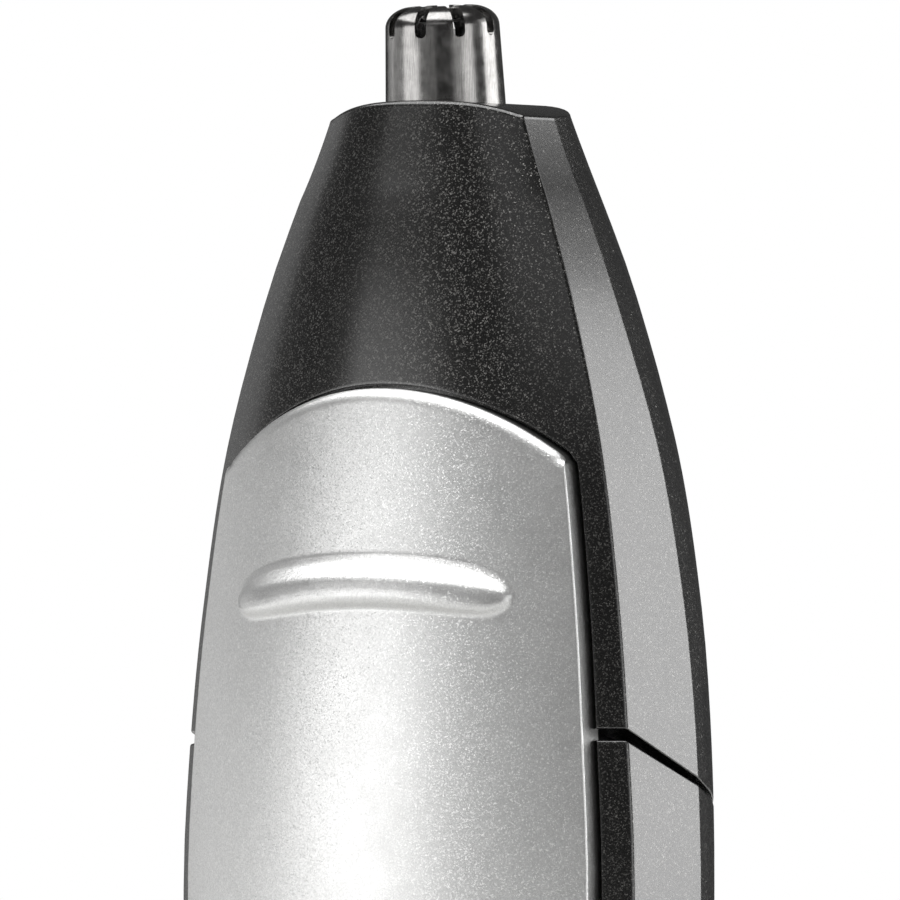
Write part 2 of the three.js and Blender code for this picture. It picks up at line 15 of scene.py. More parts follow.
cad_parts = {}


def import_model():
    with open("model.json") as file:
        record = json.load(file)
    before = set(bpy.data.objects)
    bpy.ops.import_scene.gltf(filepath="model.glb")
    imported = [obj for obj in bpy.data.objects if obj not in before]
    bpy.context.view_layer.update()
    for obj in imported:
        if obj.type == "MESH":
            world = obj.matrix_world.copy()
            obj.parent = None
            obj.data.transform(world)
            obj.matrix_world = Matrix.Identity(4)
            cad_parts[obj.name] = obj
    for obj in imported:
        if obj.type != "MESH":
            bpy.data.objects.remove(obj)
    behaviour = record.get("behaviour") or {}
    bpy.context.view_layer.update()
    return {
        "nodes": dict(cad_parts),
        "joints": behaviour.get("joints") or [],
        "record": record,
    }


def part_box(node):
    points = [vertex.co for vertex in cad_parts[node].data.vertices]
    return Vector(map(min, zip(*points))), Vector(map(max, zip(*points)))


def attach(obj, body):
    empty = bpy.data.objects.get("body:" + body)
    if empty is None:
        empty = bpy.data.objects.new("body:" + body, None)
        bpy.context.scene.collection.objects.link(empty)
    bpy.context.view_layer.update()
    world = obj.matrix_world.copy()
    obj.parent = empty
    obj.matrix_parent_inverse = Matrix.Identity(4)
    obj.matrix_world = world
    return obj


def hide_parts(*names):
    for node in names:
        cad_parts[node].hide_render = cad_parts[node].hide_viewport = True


MM = 0.001
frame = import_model()


def box_mm(node):
    """Lowest and highest corner of a CAD node, in millimetres."""
    low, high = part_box(node)
    return low / MM, high / MM


# ------------------------------------------------------------------ driving dimensions, in millimetres
BACK_ARC_RATIO = 2.5  # radius of the back face, in half-widths
WALL = 1.5  # moulded wall
FRONT_WALL = 2.1  # moulded wall behind the switch panel

# Cross-sections of the body at heights z. w: half-width at the front creases; crease: their y;
# slope: angle of the crowned front face at the crease; corner: y where the side facet ends;
# r: radius of the rear corners.
STATIONS = {
    "z": [0, 12, 36, 60, 79, 88, 96, 105.3, 114.3, 120.3, 124.7],
    "w": [12.7, 13.6, 15.2, 16.2, 16.5, 16.0, 15.2, 13.7, 11.2, 9.0, 7.1],
    "crease": [-4.7, -4.9, -5.0, -5.0, -5.0, -4.95, -4.75, -4.45, -3.95, -3.45, -3.05],
    "slope": [33, 33, 34, 34, 34, 34, 33, 31, 30, 30, 30],
    "corner": [3.0, 3.0, 2.7, 2.4, 2.1, 2.3, 2.2, 1.65, 0.8, 0.5, 0.3],
    "r": [5.2, 5.2, 5.3, 5.4, 5.6, 6.2, 6.9, 7.6, 8.0, 6.7, 5.3],
}

PANEL_LOW, PANEL_HIGH = box_mm("switch_panel")
PANEL_TOP, PANEL_BOTTOM = PANEL_HIGH.z - 0.15, PANEL_LOW.z
PANEL_ARC = 19.5  # radius of the panel's arched ends, seen from the front
PANEL_SHARE = 0.885  # panel half-width as a share of the body's
PANEL_PROUD = 0.87
PANEL_BACK = 0.63  # depth of the panel's back face below the body surface
PANEL_CORNER = 0.3
PANEL_SIDE_ROUND = 0.08
PANEL_END_ROUND = {"reach": 0.85, "depth": 0.5}
EDGE_STRIP = 0.06  # narrow band at the top of the panel's walls
TRAVEL = frame["joints"][0]["range_m"][1] / MM
GAP = 0.25  # between the panel and the walls of its recess
RECESS = 0.9
RECESS_CORNER = 0.5
RIM = 0.07  # rounding of the recess rim
FAR = 9.0  # stands for a distance beyond any rounding

RIB = {"z": 97.4, "arc": 48.0, "half": 9.95, "proud": 0.85}

HEAD_JOINT = 88.45
HANDLE_JOINT = 87.75
JOINT_BEND = -5.0  # y where the parting line starts to fall
HEAD_FALL = 0.4
HANDLE_FALL = 0.36
JOINT_ROUND = {"head": 0.08, "handle": 0.16}

HANDLE_BOTTOM = box_mm("handle_housing")[0].z
BODY_HALF = min(box_mm("handle_housing")[1].x, -box_mm("handle_housing")[0].x)
SLOT_BOTTOM, SLOT_TOP = 61.4, 75.6  # slot in the handle wall for the panel's bosses
SLOT_SHARE = 0.163  # its half-width as a share of the recess's

TOP_FROM = 120.3  # where the head starts to close towards its top face
TOP_Z = box_mm("head_housing")[1].z
TOP_HALF = 7.1
TOP_ROUND = 0.35
CAVITY_TOP = 118.0
CREASE_ROUND = 0.16
FACET_LIP = -0.05  # end of the side facet, from the start of the rear corner
REAR_TRIM = 0.19  # flattening of the rear corners
REAR_START = math.radians(20)  # a flat joins the facet to the rear corner, which starts at this angle

LEAN = math.radians(4.15)
SHOULDER = Vector((0.0, -0.97, 126.3))
BORE = 3.7
WELL_Y = box_mm("battery_cell")[0].y + 7.1  # middle of the cell and of the spring well
TUBE = {"base": 3.6, "neck": 3.43, "top": 5.67, "wall": 0.5, "flange": 4.3, "round": 1.7, "dome": 1.27}
SLOTS = {"count": 9, "half": 0.37, "bottom": 3.8, "inner": 1.3, "first": 12.0}


# ------------------------------------------------------------------ body surface
def station(key, z):
    """Cubic through the stations, with the slope of the chord between a station's neighbours."""
    z = np.asarray(z, float)
    at, value = np.array(STATIONS["z"], float), np.array(STATIONS[key], float)
    last = len(at) - 1
    before, after = np.maximum(np.arange(last + 1) - 1, 0), np.minimum(np.arange(last + 1) + 1, last)
    slope = (value[after] - value[before]) / (at[after] - at[before])
    i = np.clip(np.searchsorted(at, z) - 1, 0, last - 1)
    span = at[i + 1] - at[i]
    t = (z - at[i]) / span
    tangents = (t**3 - 2 * t**2 + t) * slope[i] + (t**3 - t**2) * slope[i + 1]
    return value[i] + (value[i + 1] - value[i]) * t * t * (3 - 2 * t) + span * tangents


def half_width(z):
    return np.minimum(station("w", z), BODY_HALF)


def front_arc(z):
    """Radius and centre y of the crowned front face."""
    slope = np.radians(station("slope", z))
    radius = half_width(z) / np.sin(slope)
    return radius, station("crease", z) + radius * np.cos(slope)


def front_y(x, z, inset=0.0):
    radius, centre = front_arc(z)
    return centre - np.sqrt((radius - inset) ** 2 - x**2)


def recess_half(z):
    return PANEL_SHARE * half_width(z) + GAP


def section_point(s, shift, z, inset):
    """A point of the right half of a cross-section, as x and y.

    s runs from the middle of the front: 0 to 1 within the recess width, 1 to 2 up to the crease, 2 to 3
    round the crease, 3 to 4 along the facet, 4 to 5 round the rear corner and 5 to 6 along the back.
    shift moves a point of the front face in x, less where the face is too narrow for it.
    """
    w, r, corner = half_width(z), station("r", z), station("corner", z)
    radius, centre = front_arc(z)
    side = w - inset
    crease = centre - np.sqrt((radius - inset) ** 2 - side**2)
    edge = side - CREASE_ROUND
    wall = recess_half(z) * side / w
    room = np.clip(np.where(shift > 0, (edge - wall) / 0.85, wall / 10.5), 0, 1)
    x_front = np.where(s < 1, s * wall, wall + (s - 1) * (edge - wall)) + shift * room
    t = np.clip(s - 2, 0, 1)
    edge_y = centre - np.sqrt((radius - inset) ** 2 - edge**2)
    x_round = (1 - t) ** 2 * edge + (2 * t - t * t) * side
    y_round = (1 - t) ** 2 * edge_y + 2 * t * (1 - t) * crease + t * t * (crease + CREASE_ROUND)
    facet_end = corner + FACET_LIP
    y_facet = crease + CREASE_ROUND + (s - 3) * (facet_end - crease - CREASE_ROUND)
    back = BACK_ARC_RATIO * w
    lean = np.arcsin((w - r) / (back - r))
    flat = np.clip((s - 4) / 0.2, 0, 1)
    a = REAR_START + np.maximum(s - 4.2, 0) / 0.8 * (math.pi / 2 - lean - REAR_START)
    fade = np.clip((math.radians(85) - a) / math.radians(40), 0, 1)
    trim = REAR_TRIM * ramp(z, 123, 108) * (np.asarray(inset) < 0.5)
    rear = r - inset - trim * fade * fade * (3 - 2 * fade)
    x_corner = w - r + rear * np.cos(a)
    x_corner = side + flat * (x_corner - side)
    y_corner = facet_end + flat * (corner + rear * np.sin(a) - facet_end)
    b = lean * (6 - s)
    back_y = corner + (r - back) * np.cos(lean)
    zone = [s <= 2, s <= 3, s <= 4, s <= 5]
    x = np.select(zone, [x_front, x_round, side + 0 * s, x_corner], (back - inset) * np.sin(b))
    y_front = centre - np.sqrt(np.maximum((radius - inset) ** 2 - x_front**2, 1))
    y_back = back_y + (back - inset) * np.cos(b)
    return x, np.select(zone, [y_front, y_round, y_facet, y_corner], y_back)


def sag(x, z_end, half, arc=PANEL_ARC + GAP):
    """Fall of an arched end of radius arc below its middle, level beyond the half-width at z_end."""
    return arc - np.sqrt(arc**2 - np.minimum(np.abs(x), half(z_end)) ** 2)


def arch_end(z, up, half, arc=PANEL_ARC + GAP):
    """Height at which the arch through z ends at the side."""
    end = z
    for _ in range(20):
        end = z - up * float(sag(np.inf, end, half, arc))
    return end


def round_drop(e, radius):
    """Fall of a rounded edge at a distance e inside its outline."""
    inside = np.clip(radius - e, 0, radius)
    return radius - np.sqrt(np.maximum(radius**2 - inside**2, 0))


def corner_shift(dx, dz, radius, reach):
    """Moves the points of a grid so that its square corner, where dx = dz = 0, becomes round."""
    t = np.clip(np.abs(dx - dz), 0, radius)
    turn = math.pi / 4 * (1 - t / radius)
    across = -radius * (1 - np.cos(turn))
    along = t - radius * (1 - np.sin(turn))
    near = np.clip(1 - np.abs(np.maximum(dx, dz)) / reach, 0, 1)
    near = near * near * (3 - 2 * near)
    on_side = dx >= dz
    return near * np.where(on_side, across, along), near * np.where(on_side, along, across)


def ramp(z, z0, z1):
    """0 at z0, 1 at z1."""
    return np.clip((z - z0) / (z1 - z0), 0, 1)


# ------------------------------------------------------------------ meshes
def grid_quads(index, wrap_rows=False, wrap_columns=True):
    if wrap_rows:
        index = np.vstack([index, index[:1]])
    if wrap_columns:
        index = np.hstack([index, index[:, :1]])
    return np.stack([index[:-1, :-1], index[:-1, 1:], index[1:, 1:], index[1:, :-1]], axis=-1)


def ring_mesh(rings, wrap_rows=False):
    """Points and faces of a surface through closed rings."""
    index = np.arange(rings.shape[0] * rings.shape[1]).reshape(rings.shape[:2])
    return rings.reshape(-1, 3), grid_quads(index, wrap_rows=wrap_rows).reshape(-1, 4)


def piece(name, points, faces, body, nodes, slot, sharp=40.0, side=None, side_count=0):
    """Makes a mesh from points in millimetres, lets it ride on a body and stand for CAD nodes.

    The last side_count faces have the material side.
    """
    data = bpy.data.meshes.new(name)
    corners_m = [tuple(p) for p in np.asarray(points, float) * MM]
    data.from_pydata(corners_m, [], [list(map(int, face)) for face in faces])
    for face in list(data.polygons)[len(faces) - side_count :]:
        face.material_index = 1
    work = bmesh.new()
    work.from_mesh(data)
    bmesh.ops.remove_doubles(work, verts=work.verts, dist=1e-6)
    bmesh.ops.delete(work, geom=[v for v in work.verts if not v.link_faces], context="VERTS")
    bmesh.ops.delete(work, geom=[e for e in work.edges if not e.link_faces], context="EDGES")
    bmesh.ops.recalc_face_normals(work, faces=work.faces)
    work.to_mesh(data)
    work.free()
    data.shade_smooth()
    data.set_sharp_from_angle(angle=math.radians(sharp))
    made = bpy.data.objects.new(name, data)
    bpy.context.scene.collection.objects.link(made)
    made.data.materials.append(MATERIALS[slot])
    if side is not None:
        made.data.materials.append(MATERIALS[side])
    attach(made, body)
    if nodes:
        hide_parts(*nodes)
    return made


def thick(outer, inner, keep=None, wrap_columns=True):
    """Points and faces of a closed wall between two grids, with holes where keep is false."""
    rows, columns = outer.shape[:2]
    count = rows * columns
    quads = grid_quads(np.arange(count).reshape(rows, columns), wrap_columns=wrap_columns)
    quads = quads.reshape(-1, 4) if keep is None else quads[keep]
    points = np.vstack([outer.reshape(-1, 3), inner.reshape(-1, 3)])
    edges = {(int(q[k]), int(q[(k + 1) % 4])) for q in quads for k in range(4)}
    border = [(a, b) for a, b in edges if (b, a) not in edges]
    border = [(a, b) for a, b in border if np.linalg.norm(points[a] - points[b]) > 1e-6]
    sides = [(b, a, a + count, b + count) for a, b in border]
    return points, [*quads, *(q[::-1] + count for q in quads), *sides]


def bevelled(made, width, angle=40.0, segments=2):
    bevel = made.modifiers.new("edges", "BEVEL")
    bevel.width = width * MM
    bevel.segments = segments
    bevel.limit_method = "ANGLE"
    bevel.angle_limit = math.radians(angle)
    bevel.harden_normals = True
    return made


# ------------------------------------------------------------------ shells of the head and the handle
EDGE_STEPS = (0.0, 0.01, 0.025, 0.045, RIM)  # outside a recess wall, across its rounded rim
NEAR_STEPS = (0.01, 0.12, 0.3, 0.5, 0.7, 0.9, 1.2, 1.7)  # inside a recess wall


def shell_columns():
    """Section parameter and x shift of one half's columns, from the middle of the front backwards."""
    inside = [(s, 0.0) for s in (0, SLOT_SHARE / 2, SLOT_SHARE)]
    inside += [(s, 0.0) for s in (0.25, 0.34, 0.43, 0.52, 0.61, 0.7, 0.78, 0.83)]
    inside += [(1.0, -e) for e in reversed(NEAR_STEPS)]
    outside = [(1.0, e) for e in (*EDGE_STEPS, 0.2, 0.32)]
    outside += [(s, 0.0) for s in (1.45, 1.7, 1.85, 1.94)]
    rest = [(s, 0.0) for s in (*np.linspace(2, 3, 6), 3.02, 3.2, 3.4, 3.6, 3.8, 3.985, 4, 4.01)]
    rest += [(s, 0.0) for s in np.concatenate([np.linspace(4, 5, 11)[1:], np.linspace(5, 6, 8)[1:]])]
    return np.array(inside + outside + rest), len(inside)


def around(half):
    """A half list of columns, repeated round the whole section, and the side each one is on."""
    left = half[-2:0:-1]
    return np.concatenate([half, left]), np.concatenate([np.ones(len(half)), -np.ones(len(left))])


COLUMNS, INSIDE_COUNT = shell_columns()
ALL_COLUMNS, SIDE = around(COLUMNS)
IN_RECESS, _ = around(np.arange(len(COLUMNS)) < INSIDE_COUNT)
RIM_DISTANCE, _ = around(
    np.where(np.arange(len(COLUMNS)) < INSIDE_COUNT, FAR, COLUMNS[:, 1] + 50 * (COLUMNS[:, 0] > 1))
)


def shell_grid(rows, follow, fall, drop_weight, inset, recess=None):
    """Grid of points on the body surface.

    rows: height of each row at the middle of the front. follow: how far a row follows the panel's arch.
    fall: slope of the parting line, drop_weight: a row's share of it. inset: depth below the surface, by
    row and column. recess: the channel of the panel, as whether a row is inside it, the row's distance
    outside its arch, the height z of the arch and up, the way the arch faces.
    """
    s = ALL_COLUMNS[None, :, 0]
    shift = ALL_COLUMNS[None, :, 1]
    up = 1 if recess is None else recess["up"]
    end = arch_end(HEAD_JOINT if recess is None else recess["z"], up, recess_half)
    z = np.repeat(rows[:, None], s.shape[1], 1)
    for _ in range(5):
        x, y = section_point(s + 0 * z, shift + 0 * z, z, inset)
        z = rows[:, None] - follow[:, None] * sag(x, end, recess_half)
        z = z - drop_weight[:, None] * fall * np.maximum(0, y - JOINT_BEND)
    if recess is None:
        return np.dstack([x * SIDE, y, z])
    front = s + 0 * z <= 2
    dx = np.where(front, x - recess_half(z), FAR)
    dz = up * (z - recess["z"] + up * sag(x, end, recess_half))
    sx, sz = corner_shift(dx, dz, RECESS_CORNER, 1.6)
    x, z = np.where(front, x + sx, x), np.where(front, z + up * sz, z)
    row_in, row_out = recess["inside"][:, None], recess["distance"][:, None]
    outside = np.maximum(RIM_DISTANCE * row_in, row_out * IN_RECESS)
    outside = np.where(~IN_RECESS & ~row_in, np.maximum(RIM_DISTANCE, row_out), outside)
    depth = np.where(IN_RECESS & row_in, RECESS, round_drop(outside, RIM)) + inset
    y = np.where(front, front_y(x, z, depth), y)
    return np.dstack([x * SIDE, y, z])


def recess_rows(z, up):
    """Rows near an arched end of the recess: height, is inside, distance outside the arch."""
    inside = [(-e, True) for e in (6.0, 4.6, 3.4, 2.5, *reversed(NEAR_STEPS))]
    outside = [(e, False) for e in (*EDGE_STEPS, 0.22, 0.4, 0.6, 0.85, 1.2)]
    return [(z + up * e, is_in, FAR if is_in else e) for e, is_in in inside + outside]


def joint_rows(z, up, radius):
    steps = (radius * share for share in (0, 0.08, 0.25, 0.5, 1, 1.3))
    return [(z + up * e, True, FAR, float(round_drop(e, radius))) for e in steps]


def by_row(values):
    """One value a row, the same for all columns."""
    return np.repeat(values[:, None], len(ALL_COLUMNS), 1)


def column_inset(front, rest):
    """Depth of the inner wall by column, thicker across the front."""
    s = ALL_COLUMNS[None, :, 0]
    return rest + (front - rest) * (1 - ramp(s, 3.0, 3.5))


def top_height(x):
    return TOP_Z - np.abs(x / TOP_HALF) ** 3


def on_lean(points):
    """Moves points drawn on the cutting axis, with z 0 at the shoulder, into the part's frame."""
    turn = np.array(Matrix.Rotation(LEAN, 3, "X"))
    return points @ turn.T + np.array(SHOULDER)


def head_top_rings():
    """Rings that close the head: to the edge, over its rounding, across the top face, into the bore."""
    rings = []
    s, shift = ALL_COLUMNS.T
    turn = TOP_ROUND * (1 - 0.65 * ramp(s, 2, 2.9) * (1 - ramp(s, 4.3, 4.8)))
    for t in (0.15, 0.3, 0.45, 0.6, 0.75, 0.9, 0.98, 1.0):
        z = TOP_FROM + t * (STATIONS["z"][-1] - TOP_FROM)
        x, y = section_point(s, shift, np.full(len(s), z), 0.0)
        rings.append(np.column_stack([x * SIDE, y, TOP_FROM + t * (top_height(x) - turn - TOP_FROM)]))
    end = np.full(len(s), float(STATIONS["z"][-1]))
    for a in np.radians([18, 36, 54, 72, 90]):
        x, y = section_point(s, shift, end, turn * (1 - math.cos(a)))
        rings.append(np.column_stack([x * SIDE, y, top_height(x) - turn * (1 - math.sin(a))]))
    edge = rings[-1]
    across = edge[:, :2] - np.array(SHOULDER[:2])
    circle = across / np.linalg.norm(across, axis=1)[:, None]
    for share in (0.12, 0.3, 0.5, 0.7, 0.86, 0.95):
        flat = np.array(SHOULDER[:2]) + across * (1 - share) + circle * (BORE + 0.08) * share
        rings.append(np.column_stack([flat, top_height(flat[:, 0])]))
    for down, out in ((0.0, 0.05), (0.03, 0.015), (0.08, 0.0)):
        flat = np.array(SHOULDER[:2]) + circle * (BORE + out)
        rings.append(np.column_stack([flat, top_height(flat[:, 0]) - down]))
    for depth, radius in ((-1.0, BORE), (-4.1, BORE), (-4.1, 4.4), (-7.8, 4.4)):
        rings.append(on_lean(np.column_stack([circle * radius, np.full(len(s), depth)])))
    return rings


def head_shell():
    arch = PANEL_TOP + GAP
    rows = joint_rows(HEAD_JOINT, 1, JOINT_ROUND["head"])
    rows += [(z, True, FAR, 0.0) for z in (89.0, 89.8, 91, 92.5, 94.5, 96.5, 98.5, 100.5, 102.2)]
    rows += [(*row, 0.0) for row in recess_rows(arch, 1)]
    rows += [(z, False, z - arch, 0.0) for z in (111.4, 112.6, 114, 115.5, 117, 118.7, TOP_FROM)]
    z, inside, distance, drop = (np.array(column) for column in zip(*rows))
    follow = ramp(z, 91, 106.6) * (1 - ramp(z, 110.7, 119.0))
    fall_weight = 1 - ramp(z, HEAD_JOINT, 100)
    recess = {"inside": inside.astype(bool), "distance": distance, "z": arch, "up": 1}
    outer = shell_grid(z, follow, HEAD_FALL, fall_weight, by_row(drop), recess)
    rings = list(outer) + head_top_rings()
    lining = np.array([CAVITY_TOP, 112, 106, 100, 94, HEAD_JOINT])
    walls = np.repeat(column_inset(FRONT_WALL, WALL), len(lining), 0)
    inner = shell_grid(lining, 0 * lining, HEAD_FALL, 1 - ramp(lining, HEAD_JOINT, 100), walls)
    points, faces = ring_mesh(np.array(rings + list(inner)), wrap_rows=True)
    return piece("head_shell", points, faces, "head", ["head_housing"], "charcoal_shell")


def handle_shell():
    arch = PANEL_BOTTOM - GAP - TRAVEL
    rows = joint_rows(HANDLE_JOINT, -1, JOINT_ROUND["handle"])
    plain = (87.2, 86.3, 84.5, 82, 79, SLOT_TOP, 72, 68.5, 65, SLOT_BOTTOM, 57, 53, 49, 45, 42)
    rows += [(z, True, FAR, 0.0) for z in plain]
    rows += [(*row, 0.0) for row in recess_rows(arch, -1)]
    rows += [(z, False, arch - z, 0.0) for z in (30.2, 28, 25, 22, 19, 16, 13.5, 11.5)]
    rows += [(HANDLE_BOTTOM + e, False, FAR, float(round_drop(e, 0.25))) for e in (0.25, 0.12, 0.05, 0)]
    z, inside, distance, drop = (np.array(column) for column in zip(*rows))
    inside = inside.astype(bool)
    follow = -ramp(z, 60, 36) * ramp(z, 15, 30.5)
    fall_weight = ramp(z, 66, HANDLE_JOINT)
    recess = {"inside": inside, "distance": distance, "z": arch, "up": -1}
    outer = shell_grid(z, follow, HANDLE_FALL, fall_weight, by_row(drop), recess)
    walls = np.repeat(column_inset(FRONT_WALL, WALL), len(z), 0)
    inner = shell_grid(z, follow, HANDLE_FALL, fall_weight, walls)
    keep = np.ones((len(z) - 1, len(ALL_COLUMNS)), bool)
    slot_rows = (z[:-1] <= SLOT_TOP) & (z[1:] >= SLOT_BOTTOM)
    keep[np.ix_(slot_rows, [0, 1, -1, -2])] = False  # the columns within SLOT_SHARE
    points, faces = thick(outer, inner, keep)
    return piece("handle_shell", points, faces, "handle", ["handle_housing"], "charcoal_shell")


# ------------------------------------------------------------------ switch panel
def rib_height(x, z):
    """Thumb rib: long upper slope, crest below the middle, steep lower flank, running out at the ends."""
    end = np.sqrt(np.maximum(1 - np.minimum(np.abs(x / RIB["half"]), 1) ** 8, 0))
    middle = RIB["z"] - RIB["arc"] + np.sqrt(RIB["arc"] ** 2 - x**2)
    t = (z - middle) / np.maximum(end, 0.05)
    rise = np.interp(t, RIB_PROFILE[0], RIB_PROFILE[1])
    return RIB["proud"] * end * rise


def smooth_profile(points, count=100):
    """A profile through a few points with rounded turns, as two arrays."""
    t, value = np.array(points, float).T
    fine = np.linspace(t[0], t[-1], count)
    rough = np.interp(fine, t, value)
    kernel = np.hanning(9)
    padded = np.pad(rough, len(kernel) // 2, mode="edge")
    return fine, np.convolve(padded, kernel / kernel.sum(), "valid")


RIB_PROFILE = smooth_profile(
    [(-2.6, 0), (-1.72, 0), (-1.6, 0.12), (-1.35, 0.82), (-1.0, 0.98), (-0.6, 1.0)]
    + [(-0.1, 0.94), (0.2, 0.84), (1.1, 0.2), (1.6, 0), (2.6, 0)]
)


def panel_half(z):
    return PANEL_SHARE * half_width(z)


def panel_sag(x, z_end):
    return sag(x, z_end, panel_half, PANEL_ARC)


def panel_piece():
    edge = (0, 0.006, 0.02, 0.04, 0.06, PANEL_SIDE_ROUND, 0.16, 0.32, 0.5, 0.7, 0.9, 1.2, 1.5, 1.8, 2.2)
    right = [(1.0, -e) for e in edge] + [(s, 0.0) for s in np.linspace(0.8, 0.66, 15)]
    right += [(s, 0.0) for s in (0.63, 0.59, 0.54, 0.49, 0.43, 0.37, 0.31, 0.25, 0.19, 0.13, 0.07)]
    columns = np.array([(-s, -d) for s, d in right] + [(0.0, 0.0)] + right[::-1])
    rim = (0, 0.01, 0.03, 0.07, 0.13, 0.2, 0.28, 0.36, 0.45, 0.55)
    rim += (0.65, 0.75, 0.85, 1.0, 1.2, 1.5, 2.0, 2.6, 3.3, 4.0)
    fine = np.arange(RIB["z"] + 2.6, RIB["z"] - 2.7, -0.1)
    middle = [104.3, 103.6, 102.8, 102, 101.2, 100.6, *fine, 94, 93, 91.5, 89.5]
    middle += [87, 84, 81, 78, 75, 71, 67, 63, 59, 55, 51, 47, 43.5]
    z0 = np.array([PANEL_TOP - e for e in rim] + middle + [PANEL_BOTTOM + e for e in rim[::-1]])
    far_edge = np.minimum(PANEL_TOP - z0, z0 - PANEL_BOTTOM)[:, None]
    follow = 0.4 * ramp(z0, 70, 94) + 0.6 * ramp(z0, 100.2, 105) - ramp(z0, 62, 42)
    up = np.where(z0 > 70, 1, -1)[:, None]
    end = np.where(z0 > 70, PANEL_TOP, PANEL_BOTTOM)[:, None]
    z = np.repeat(z0[:, None], len(columns), 1)
    top_corner = arch_end(PANEL_TOP, 1, panel_half, PANEL_ARC)
    bottom_corner = arch_end(PANEL_BOTTOM, -1, panel_half, PANEL_ARC)
    corner_z = np.where(z0 > 70, top_corner, bottom_corner)[:, None]
    for _ in range(5):
        x = columns[None, :, 0] * panel_half(z) + columns[None, :, 1]
        z = z0[:, None] - follow[:, None] * panel_sag(x, corner_z)
    dx = np.abs(x) - panel_half(z)
    dz = up * (z - end + up * panel_sag(x, corner_z))
    sx, sz = corner_shift(dx, dz, PANEL_CORNER, 2.6)
    side_edge = np.abs(np.where(np.abs(columns[:, 0]) == 1.0, columns[:, 1], FAR))[None, :]
    x, z = x + np.sign(x) * sx, z + up * sz
    reach, depth = PANEL_END_ROUND["reach"], PANEL_END_ROUND["depth"]
    drop = np.maximum(round_drop(side_edge, PANEL_SIDE_ROUND), depth * round_drop(far_edge / reach, 1.0))
    outer = np.dstack([x, front_y(x, z, -PANEL_PROUD) + drop - rib_height(x, z), z])
    inner = np.dstack([x, front_y(x, z, PANEL_BACK), z])
    outer, inner = (np.pad(grid, ((1, 1), (1, 1), (0, 0)), mode="edge") for grid in (outer, inner))
    outer[[0, -1], :, 1] += EDGE_STRIP
    outer[1:-1, [0, -1], 1] += EDGE_STRIP
    points, faces = thick(outer, inner, wrap_columns=False)
    quads = (outer.shape[0] - 1) * (outer.shape[1] - 1)
    sides = len(faces) - 2 * quads
    nodes = ["switch_panel"]
    name, slot = "switch_panel_skin", "silver_panel"
    # the side faces take the darkened silver copy, as painted shade
    return piece(name, points, faces, "switch", nodes, slot, 50.0, "shaded_panel_wall", sides)


# ------------------------------------------------------------------ cutter tube
def tube_profile():
    """Outer and inner [radius, z] rows of the slotted tube, from its flange to the middle of its crown.

    The third value is the height where the slots start to run straight.
    """
    base, neck, top, wall = TUBE["base"], TUBE["neck"], TUBE["top"], TUBE["wall"]
    dome, turn = TUBE["dome"], TUBE["round"]
    level = SLOTS["bottom"] + SLOTS["half"]
    start = top - dome

    def side(z):
        return base + (neck - base) * z / start

    heights = (0, 0.7, 1.5, 2.3, 3.0, 3.5, level)
    outer = [(TUBE["flange"], -5.0), (TUBE["flange"], -4.2), (base + 0.02, -4.2), (base + 0.02, -1.0)]
    outer += [(side(z), z) for z in heights]
    inner = [(base - wall, z) for z in (-5.0, -4.6, -4.2, -1.0)]
    inner += [(side(z) - wall, z) for z in heights]
    for a in np.radians(np.linspace(0, 90, 13)):
        outer.append((neck - turn + turn * math.cos(a), start + dome * math.sin(a)))
        inner.append((neck - turn + (turn - wall) * math.cos(a), start + (dome - wall) * math.sin(a)))
    crown = ((1.5, 0.04), (SLOTS["inner"], 0.16), (1.1, 0.32), (0.9, 0.41), (0.5, 0.45), (0, 0.45))
    for r, fall in crown:
        outer.append((r, top - fall))
        inner.append((r, top - wall - fall))
    return np.array(outer), np.array(inner), level


def tube_piece():
    outer, inner, level = tube_profile()
    half = SLOTS["half"]
    across = half * np.array([-1, -0.92, -0.7, -0.38, 0, 0.38, 0.7, 0.92, 1])
    between = np.linspace(0, 1, 10)[1:-1]
    pitch = 2 * math.pi / SLOTS["count"]
    per_slot = len(across) + len(between)

    def grid(profile):
        rows = []
        for r, z in profile:
            reach = math.asin(min(half / max(r, 0.8), 0.95))
            slot = np.arcsin(np.clip(across / max(r, 0.8), -0.95, 0.95))
            tooth = reach + between * (pitch - 2 * reach)
            step = np.concatenate([slot, tooth])
            angles = np.concatenate([step + k * pitch for k in range(SLOTS["count"])])
            angles += math.radians(SLOTS["first"] - 90)
            height = np.full(len(angles), z)
            if abs(z - level) < 1e-6:
                u_shape = level - np.sqrt(np.maximum(half**2 - across**2, 0))
                for k in range(SLOTS["count"]):
                    height[k * per_slot : k * per_slot + len(across)] = u_shape
            rows.append(np.column_stack([r * np.cos(angles), r * np.sin(angles), height]))
        return np.array([on_lean(row) for row in rows])

    keep = np.ones((len(outer) - 1, per_slot * SLOTS["count"]), bool)
    open_rows = (outer[:-1, 1] >= level - 1e-6) & (outer[1:, 0] >= SLOTS["inner"] - 1e-6)
    slot_columns = [k * per_slot + i for k in range(SLOTS["count"]) for i in range(len(across) - 1)]
    keep[np.ix_(open_rows, slot_columns)] = False
    points, faces = thick(grid(outer), grid(inner), keep)
    made = piece("cutter_tube", points, faces, "head", ["outer_blade"], "polished_steel", sharp=35)
    return bevelled(made, 0.09, 45, 3)


